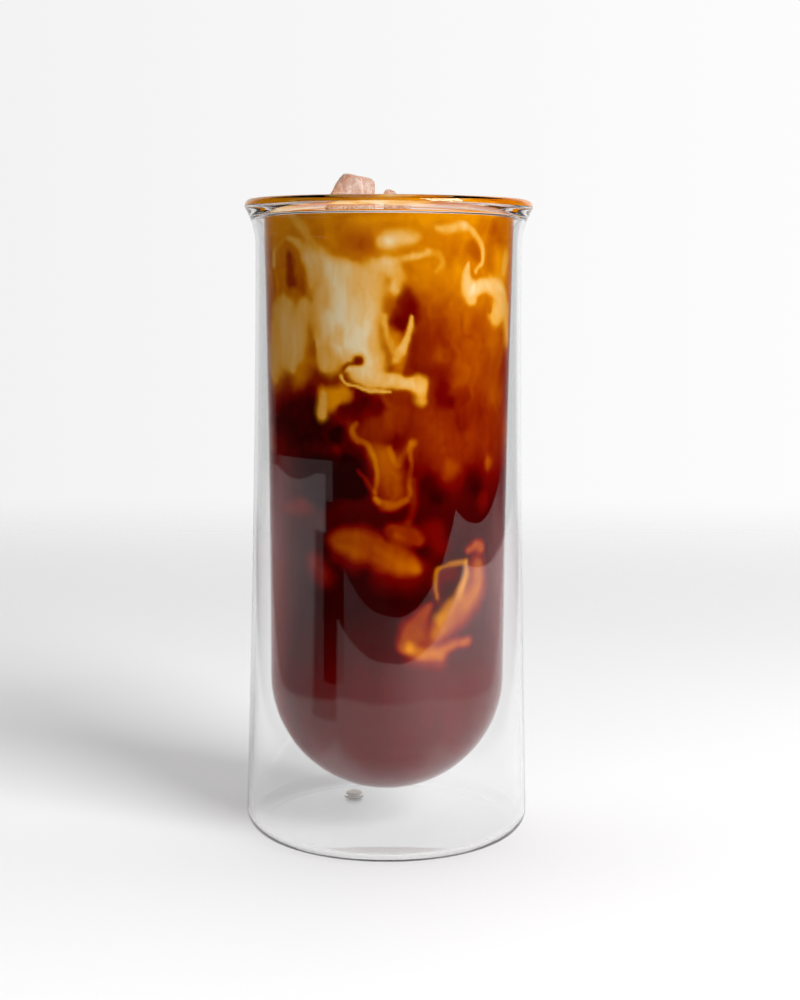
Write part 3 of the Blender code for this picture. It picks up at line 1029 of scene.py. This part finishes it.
def ice_lump(name, corners, seed):
    """A piece of broken ice round the corners, in millimetres."""
    shape = bmesh.new()
    for corner in corners:
        shape.verts.new(Vector(corner) * MM)
    hull = bmesh.ops.convex_hull(shape, input=list(shape.verts))
    bmesh.ops.delete(shape, geom=hull["geom_interior"] + hull["geom_unused"], context="VERTS")
    bmesh.ops.dissolve_limit(
        shape, angle_limit=math.radians(6), verts=list(shape.verts), edges=list(shape.edges)
    )
    bmesh.ops.bevel(
        shape, geom=list(shape.edges), offset=WORN_EDGE, segments=3, profile=0.5, affect="EDGES",
        clamp_overlap=True,
    )
    bmesh.ops.triangulate(shape, faces=shape.faces)
    mesh = bpy.data.meshes.new(name)
    shape.to_mesh(mesh)
    shape.free()
    lump = add_piece(name, mesh)
    remesh = lump.modifiers.new("even", "REMESH")
    remesh.mode = "VOXEL"
    remesh.voxel_size = FACE_SIZE
    settle(lump)
    points = np.empty(len(lump.data.vertices) * 3)
    lump.data.vertices.foreach_get("co", points)
    points = points.reshape(-1, 3)
    normals = np.empty(len(points) * 3)
    lump.data.vertices.foreach_get("normal", normals)
    dents = layered_noise(points / MM, 3.2, seed, 3, 0.5)
    creases = 1 - np.abs(smooth_noise(points / MM * [1, 1, 0.5], 2.6, seed + 9))
    move = DENTED * np.minimum(dents, 0.0) - CREASED * np.clip(creases, 0, 1) ** 4 - MELTED
    points += normals.reshape(-1, 3) * move[:, None] * MM
    lump.data.vertices.foreach_set("co", points.ravel())
    lump.data.shade_smooth()
    return lump


ice_block = ice_lump("ice_block_worn", BLOCK_CORNERS, 81)
ice_nub = ice_lump("ice_nub_worn", NUB_CORNERS, 91)
print("ice:", len(ice_block.data.polygons), len(ice_nub.data.polygons), "faces")

# %% [markdown]
# The ice is milky in its veins and clear between them, and the coffee tints it. One noise
# drives all of that: where it is high the ice is whiter and rougher, and its skin is raised.

# %% Ice with cloudy veins
ICE_TONES = [
    (0.30, (222, 178, 156)),
    (0.45, (230, 196, 178)),
    (0.55, (240, 216, 204)),
    (0.68, (250, 238, 232)),
]

ice, tree = new_material("veined_ice")
veins = place_noise(tree, (380.0, 380.0, 260.0), 5.0, 2.2, (0.0, math.radians(18), 0.0))
tint = colour_ramp(tree, ICE_TONES)
cloudy = spread(tree, (0.42, 0.66), (0.16, 0.5))
bump = add(tree, "ShaderNodeBump", {"Strength": 0.35, "Distance": 0.0006})
skin = add(tree, "ShaderNodeBsdfPrincipled", {"Transmission Weight": 0.55, "IOR": 1.31})
out = add(tree, "ShaderNodeOutputMaterial")
join(
    tree,
    (veins, "Amount", tint, "Fac"),
    (veins, "Amount", cloudy, "Value"),
    (veins, "Amount", bump, "Height"),
    (tint, "Color", skin, "Base Color"),
    (cloudy, "Result", skin, "Roughness"),
    (bump, "Normal", skin, "Normal"),
    (skin, "BSDF", out, "Surface"),
)
for lump, node in ((ice_block, "ice_block"), (ice_nub, "ice_nub")):
    lump.data.materials.clear()
    lump.data.materials.append(ice)
    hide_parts(node)
    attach(lump, "root")
print("ice tones:", len(ICE_TONES))

# %% [markdown]
# Glass shows what stands round it, so the room matters as much as the glass. The table ends
# 25 to 35 cm in front of the glass, and beyond its edges the room on the camera's side is
# dark. Mirrored in the front of the tube, this gives clear dark coffee above and a pale veil
# below, with edges between them.

# %% The table
SURFACE_Z = -0.2 * MM
TABLE_CORNERS = [
    (-1.10, -0.82), (-1.00, -0.74), (-0.41, -0.335), (0.0, -0.333),
    (0.56, -0.25), (0.60, 0.75), (-1.10, 0.75),
]
table_mesh = bpy.data.meshes.new("table")
table_mesh.from_pydata(
    [(x, y, SURFACE_Z) for x, y in TABLE_CORNERS], [], [tuple(range(len(TABLE_CORNERS)))]
)
table = add_piece("table", table_mesh)
print("table corners:", len(TABLE_CORNERS))

# %% [markdown]
# Some things are there for what the glass mirrors, and shouldn't show through it. The count
# of a ray's steps tells the two apart. Light goes through one wall of the glass in two
# steps, so whatever is seen straight through one or both walls comes after two or four.
# An odd count, or more than four, means that the glass has mirrored the light.

# %% Light that the glass has mirrored
STRAIGHT_STEPS = 4.5


def mirrored_light(tree):
    """The light path, and a node that gives 1 for mirrored light and else 0."""
    ray = add(tree, "ShaderNodeLightPath")
    many = add(tree, "ShaderNodeMath", {1: STRAIGHT_STEPS}, operation="GREATER_THAN")
    odd = add(tree, "ShaderNodeMath", {1: 2.0}, operation="MODULO")
    either = add(tree, "ShaderNodeMath", operation="MAXIMUM")
    join(
        tree,
        (ray, "Ray Depth", many, 0),
        (ray, "Ray Depth", odd, 0),
        (many, 0, either, 0),
        (odd, 0, either, 1),
    )
    return ray, either


# %% [markdown]
# The table is pale, and fades into the backdrop behind the glass. In front of the glass and
# beside it, a pinkish grey takes the place of the pale, but only for mirrored light and for
# stray light. So the veil in the tube is a soft grey, and the floor in the picture is white.

# %% The pale table
FADE_Y = (0.22, 0.70)
FRONT_Y = (-0.12, -0.15)
SIDE_SLANT = -0.29
SIDE_X = (0.13, 0.16)

pale, tree = new_material("pale_table")
mottle = place_noise(tree, (7.0,) * 3)
tone = two_tones(tree, (0.86, 0.86, 0.865), (0.89, 0.89, 0.892))
place = add(tree, "ShaderNodeTexCoord")
split = add(tree, "ShaderNodeSeparateXYZ")
aside = add(tree, "ShaderNodeMath", operation="ABSOLUTE")
fade = spread(tree, FADE_Y, (0.0, 1.0), "SMOOTHSTEP")
to_front = spread(tree, FRONT_Y, (0.0, 1.0), "SMOOTHSTEP")
slanted = add(tree, "ShaderNodeMath", {1: SIDE_SLANT}, operation="MULTIPLY_ADD")
to_side = spread(tree, SIDE_X, (0.0, 1.0), "SMOOTHSTEP")
out_of_sight = add(tree, "ShaderNodeMath", operation="MAXIMUM")
ray, mirrored = mirrored_light(tree)
indirect = add(tree, "ShaderNodeMath", operation="MAXIMUM")
greyed = add(tree, "ShaderNodeMath", operation="MULTIPLY")
near_grey = spread(tree, (-0.03, 0.10), (0.36, 0.62))
far_grey = spread(tree, (0.2, 0.6), (0.0, 0.4))
grey = add(tree, "ShaderNodeMath", operation="ADD", use_clamp=True)
tinted = mix_colours(tree, {"A": (0.0, 0.0, 0.0, 1.0), "B": (1.0, 0.84, 0.86, 1.0)})
darker = mix_colours(tree, {"A": (1.0, 1.0, 1.0, 1.0)})
colour = mix_colours(tree, {"Factor": 1.0}, "MULTIPLY")
skin = add(tree, "ShaderNodeBsdfPrincipled", {"Roughness": 0.65, "Specular IOR Level": 0.2})
nothing = add(tree, "ShaderNodeBsdfTransparent")
choose = add(tree, "ShaderNodeMixShader")
out = add(tree, "ShaderNodeOutputMaterial")
join(
    tree,
    (place, "Object", split, "Vector"),
    (split, "Y", fade, "Value"),
    (split, "Y", to_front, "Value"),
    (split, "X", near_grey, "Value"),
    (split, "X", aside, 0),
    (aside, 0, far_grey, "Value"),
    (split, "Y", slanted, 0),
    (aside, 0, slanted, 2),
    (slanted, 0, to_side, "Value"),
    (to_front, "Result", out_of_sight, 0),
    (to_side, "Result", out_of_sight, 1),
    (mirrored, 0, indirect, 0),
    (ray, "Is Diffuse Ray", indirect, 1),
    (out_of_sight, 0, greyed, 0),
    (indirect, 0, greyed, 1),
    (near_grey, "Result", grey, 0),
    (far_grey, "Result", grey, 1),
    (grey, 0, tinted, "Factor"),
    (tinted, "Result", darker, "B"),
    (greyed, 0, darker, "Factor"),
    (mottle, "Amount", tone, "Fac"),
    (tone, "Color", colour, "A"),
    (darker, "Result", colour, "B"),
    (colour, "Result", skin, "Base Color"),
    (fade, "Result", choose, "Fac"),
    (skin, "BSDF", choose, 1),
    (nothing, "BSDF", choose, 2),
    (choose, "Shader", out, "Surface"),
)
table.data.materials.append(pale)
print("table nodes:", len(tree.nodes))

# %% [markdown]
# For the camera the backdrop is white, a little greyer at the left. What the glass mirrors
# and bends comes from a room whose light changes with the bearing: 0 degrees lies behind
# the glass, and positive is to the right. It is bright behind the glass and dark on the
# camera's side, which draws the dark lines along the edges of the glass. Light that has
# been through many steps meets a narrower bright part. A third list lights the camera's
# side for what is seen straight through the walls, as it is from behind.

# %% The room's light by bearing
ROOM_THROUGH_WALL = [
    (-58, 0.0), (-44, 0.20), (-34, 0.60), (-24, 0.78), (-10, 0.85), (0, 0.97), (20, 1.0), (30, 0.95),
    (38, 0.5), (50, 0.0),
]
ROOM_IN_TUBE = [
    (-54, 0.02), (-42, 0.20), (-30, 0.50), (-20, 0.78), (-8, 0.90), (0, 0.95), (12, 0.95), (18, 0.80),
    (28, 0.38), (40, 0.08), (50, 0.0),
]
ROOM_IN_FRONT = [(-84, 0.9), (-64, 0.0), (56, 0.0), (76, 0.9)]

world = bpy.data.worlds.new("room")
bpy.context.scene.world = world
world.use_nodes = True
tree = world.node_tree
tree.nodes.clear()


def room_ramp(stops):
    ramp = add(tree, "ShaderNodeValToRGB")
    while len(ramp.color_ramp.elements) < len(stops):
        ramp.color_ramp.elements.new(0.5)
    for element, (degrees, light) in zip(ramp.color_ramp.elements, stops):
        element.position = 0.5 + degrees / 360
        element.color = (light, light, light, 1.0)
    return ramp


through_wall = room_ramp(ROOM_THROUGH_WALL)
in_tube = room_ramp(ROOM_IN_TUBE)
camera_side = room_ramp(ROOM_IN_FRONT)
print("bearings in the room:", len(ROOM_THROUGH_WALL), len(ROOM_IN_TUBE), len(ROOM_IN_FRONT))

# %% [markdown]
# Now the parts are put together. In the room's own nodes the count of steps reads one more
# than on a surface, so straight through the walls is three or five here. Light that only
# brightens the table and the drink comes from a plain dome, bright behind and dim in front.

# %% The room
place = add(tree, "ShaderNodeTexCoord")
split = add(tree, "ShaderNodeSeparateXYZ")
bearing = add(tree, "ShaderNodeMath", operation="ARCTAN2")
round_room = spread(tree, (-math.pi, math.pi), (0.0, 1.0))
dome = spread(tree, (-0.30, 0.25), (0.03, 1.0), "SMOOTHSTEP")
across = spread(tree, (-0.25, 0.25), (0.885, 0.985))
ray = add(tree, "ShaderNodeLightPath")
deep = add(tree, "ShaderNodeMath", {1: STRAIGHT_STEPS}, operation="GREATER_THAN")
few = add(tree, "ShaderNodeMath", {1: STRAIGHT_STEPS + 1}, operation="LESS_THAN")
odd = add(tree, "ShaderNodeMath", {1: 2.0}, operation="MODULO")
few_and_odd = add(tree, "ShaderNodeMath", operation="MULTIPLY")
straight = add(tree, "ShaderNodeMath", operation="MULTIPLY")
by_depth = mix_colours(tree)
with_front = mix_colours(tree, blend_type="ADD")
lit_by = mix_colours(tree)
room = add(tree, "ShaderNodeBackground")
backdrop = add(tree, "ShaderNodeBackground")
choose = add(tree, "ShaderNodeMixShader")
out = add(tree, "ShaderNodeOutputWorld")
join(
    tree,
    (place, "Generated", split, "Vector"),
    (split, "X", bearing, 0),
    (split, "Y", bearing, 1),
    (bearing, 0, round_room, "Value"),
    (round_room, "Result", through_wall, "Fac"),
    (round_room, "Result", in_tube, "Fac"),
    (round_room, "Result", camera_side, "Fac"),
    (ray, "Ray Depth", deep, 0),
    (ray, "Ray Depth", few, 0),
    (ray, "Ray Depth", odd, 0),
    (few, 0, few_and_odd, 0),
    (odd, 0, few_and_odd, 1),
    (few_and_odd, 0, straight, 0),
    (ray, "Is Transmission Ray", straight, 1),
    (deep, 0, by_depth, "Factor"),
    (through_wall, "Color", by_depth, "A"),
    (in_tube, "Color", by_depth, "B"),
    (straight, 0, with_front, "Factor"),
    (by_depth, "Result", with_front, "A"),
    (camera_side, "Color", with_front, "B"),
    (ray, "Is Diffuse Ray", lit_by, "Factor"),
    (with_front, "Result", lit_by, "A"),
    (split, "Y", dome, "Value"),
    (dome, "Result", lit_by, "B"),
    (lit_by, "Result", room, "Color"),
    (split, "X", across, "Value"),
    (across, "Result", backdrop, "Color"),
    (ray, "Is Camera Ray", choose, "Fac"),
    (room, "Background", choose, 1),
    (backdrop, "Background", choose, 2),
    (choose, "Shader", out, "Surface"),
)
print("room nodes:", len(tree.nodes))

# %% [markdown]
# One big softbox stands to the right of the camera, above the glass. It lays the long soft
# shadow to the back left, and makes the drink paler on its right side. A weak one at the
# left lifts the drink's shaded side, and doesn't show in the glass.

# %% The lamps
def softbox(name, place, look_at, size, watts):
    lamp = bpy.data.objects.new(name, bpy.data.lights.new(name, "AREA"))
    lamp.data.shape = "RECTANGLE"
    lamp.data.size, lamp.data.size_y = size
    lamp.data.energy = watts
    lamp.location = place
    lamp.rotation_euler = (Vector(look_at) - Vector(place)).to_track_quat("-Z", "Y").to_euler()
    bpy.context.scene.collection.objects.link(lamp)
    return lamp


KEY_WATTS, FILL_WATTS = 16.8, 1.2
softbox("key", (0.75, -0.70, 0.80), (0.0, 0.0, 0.06), (0.6, 0.6), KEY_WATTS)
fill = softbox("fill", (-0.25, -0.80, 0.35), (0.0, 0.0, 0.08), (0.5, 0.5), FILL_WATTS)
fill.visible_glossy = False
fill.visible_transmission = False
print("lamps, W:", KEY_WATTS, FILL_WATTS)

# %% [markdown]
# Two black cards show only in what the glass mirrors. A flat one at the left gives the
# narrow dark bar in the left of the tube. A curved one goes round the front at the height
# of the clouds, and keeps the room's light off the glass there.

# %% The black cards
CARD_AWAY, CARD_TURN = 205 * MM, math.radians(-47)
CARD_CORNERS = [(-42, 0), (30, 0), (30, 62), (-42, 62)]
FLAG_AWAY, FLAG_LOW, FLAG_HIGH = 90 * MM, 90 * MM, 142 * MM
FLAG_HALF_TURN, FLAG_STRIPS = 112, 22

card = add_piece("black_block", bpy.data.meshes.new("black_block"))
card.data.from_pydata([(x * MM, 0.0, z * MM) for x, z in CARD_CORNERS], [], [tuple(range(4))])
card.location = (CARD_AWAY * math.sin(CARD_TURN), -CARD_AWAY * math.cos(CARD_TURN), 0.0)
card.rotation_euler = (0.0, 0.0, CARD_TURN)

turns = np.radians(np.linspace(-FLAG_HALF_TURN, FLAG_HALF_TURN, FLAG_STRIPS + 1))
round_front = [(FLAG_AWAY * math.sin(t), -FLAG_AWAY * math.cos(t)) for t in turns]
above = len(round_front)
flag = add_piece("black_flag", bpy.data.meshes.new("black_flag"))
flag.data.from_pydata(
    [(x, y, z) for z in (FLAG_LOW, FLAG_HIGH) for x, y in round_front],
    [],
    [(i, i + 1, i + above + 1, i + above) for i in range(FLAG_STRIPS)],
)

black, tree = new_material("black_card")
ray, mirrored = mirrored_light(tree)
skin = add(tree, "ShaderNodeBsdfDiffuse", {"Color": (0.004, 0.004, 0.004, 1.0)})
nothing = add(tree, "ShaderNodeBsdfTransparent")
choose = add(tree, "ShaderNodeMixShader")
out = add(tree, "ShaderNodeOutputMaterial")
join(
    tree,
    (mirrored, 0, choose, "Fac"),
    (nothing, "BSDF", choose, 1),
    (skin, "BSDF", choose, 2),
    (choose, "Shader", out, "Surface"),
)
for black_piece in (card, flag):
    black_piece.data.materials.append(black)
    black_piece.visible_camera = False
    black_piece.visible_shadow = False
    black_piece.visible_diffuse = False
print("black cards:", card.name, flag.name)
